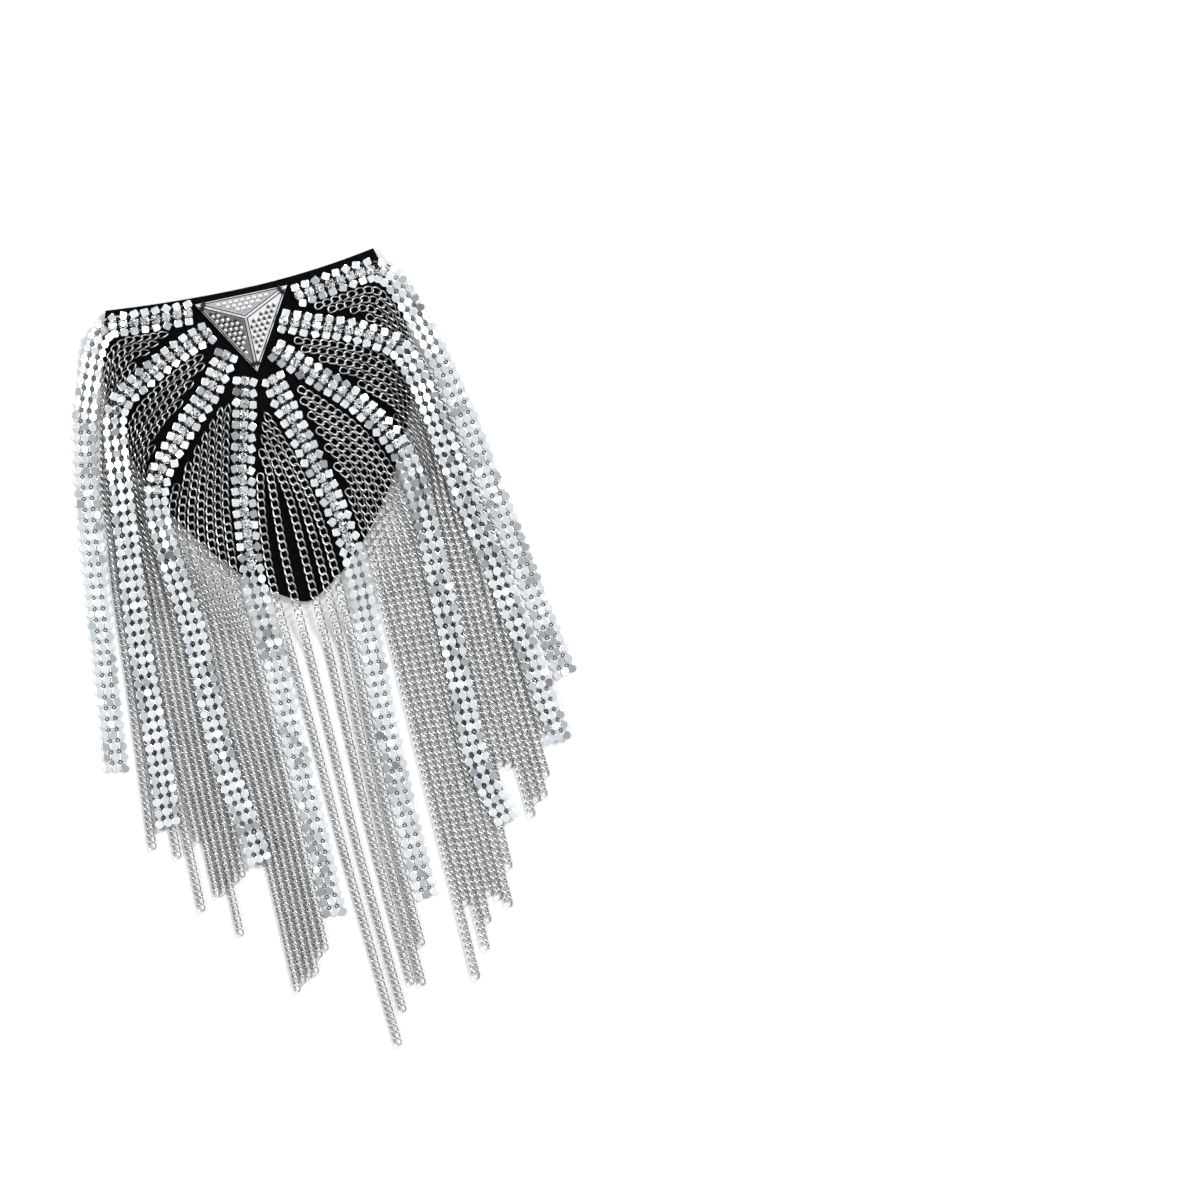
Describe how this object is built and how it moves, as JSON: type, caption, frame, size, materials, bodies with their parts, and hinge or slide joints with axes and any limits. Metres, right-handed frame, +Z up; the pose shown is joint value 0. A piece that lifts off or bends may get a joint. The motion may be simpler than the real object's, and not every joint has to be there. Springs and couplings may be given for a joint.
{
  "type": "chain epaulette",
  "caption": "Shoulder epaulette: domed black felt pad with a pyramid stud, fanned crystal-set mesh bands and a long uneven fringe of fine chains.",
  "frame": {"origin": "under the middle of the whole part, on the surface that it lies on", "axes": "+X to the wearer's side seen on the right in the picture, +Y from the fringe towards the stud's edge, +Z up out of the felt's face"},
  "size_m": [0.1744, 0.2831, 0.0167],
  "materials": {
    "felt": "matt black felt",
    "antique_silver": "cast, antique silver plate, dark in the hollows",
    "steel": "nickel-plated steel",
    "mesh_metal": "bright silver pressed plates",
    "crystal": "clear cut crystal in silver claws",
    "chain_metal": "silver-plated iron chain"
  },
  "bodies": {
    "root": {"backing": "felt", "stud": "antique_silver", "pin_bar": "steel", "band_1": "mesh_metal", "band_2": "mesh_metal", "band_3": "mesh_metal", "band_4": "mesh_metal", "band_5": "mesh_metal", "band_6": "mesh_metal", "band_7": "mesh_metal", "band_8": "mesh_metal", "crystals_1": "crystal", "crystals_2": "crystal", "crystals_3": "crystal", "crystals_4": "crystal", "crystals_5": "crystal", "crystals_6": "crystal", "crystals_7": "crystal", "crystals_8": "crystal", "chain_outer_left_1": "chain_metal", "chain_outer_left_2": "chain_metal", "chain_outer_left_3": "chain_metal", "chain_outer_left_4": "chain_metal", "chain_left_1": "chain_metal", "chain_left_2": "chain_metal", "chain_left_3": "chain_metal", "chain_left_4": "chain_metal", "chain_left_5": "chain_metal", "chain_left_6": "chain_metal", "chain_inner_left_1": "chain_metal", "chain_inner_left_2": "chain_metal", "chain_inner_left_3": "chain_metal", "chain_inner_left_4": "chain_metal", "chain_inner_left_5": "chain_metal", "chain_inner_left_6": "chain_metal", "chain_inner_left_7": "chain_metal", "chain_centre_1": "chain_metal", "chain_centre_2": "chain_metal", "chain_centre_3": "chain_metal", "chain_centre_4": "chain_metal", "chain_centre_5": "chain_metal", "chain_inner_right_1": "chain_metal", "chain_inner_right_2": "chain_metal", "chain_inner_right_3": "chain_metal", "chain_inner_right_4": "chain_metal", "chain_inner_right_5": "chain_metal", "chain_inner_right_6": "chain_metal", "chain_inner_right_7": "chain_metal", "chain_right_1": "chain_metal", "chain_right_2": "chain_metal", "chain_right_3": "chain_metal", "chain_right_4": "chain_metal", "chain_right_5": "chain_metal", "chain_right_6": "chain_metal", "chain_outer_right_1": "chain_metal", "chain_outer_right_2": "chain_metal", "chain_outer_right_3": "chain_metal", "chain_outer_right_4": "chain_metal"}
  },
  "joints": []
}
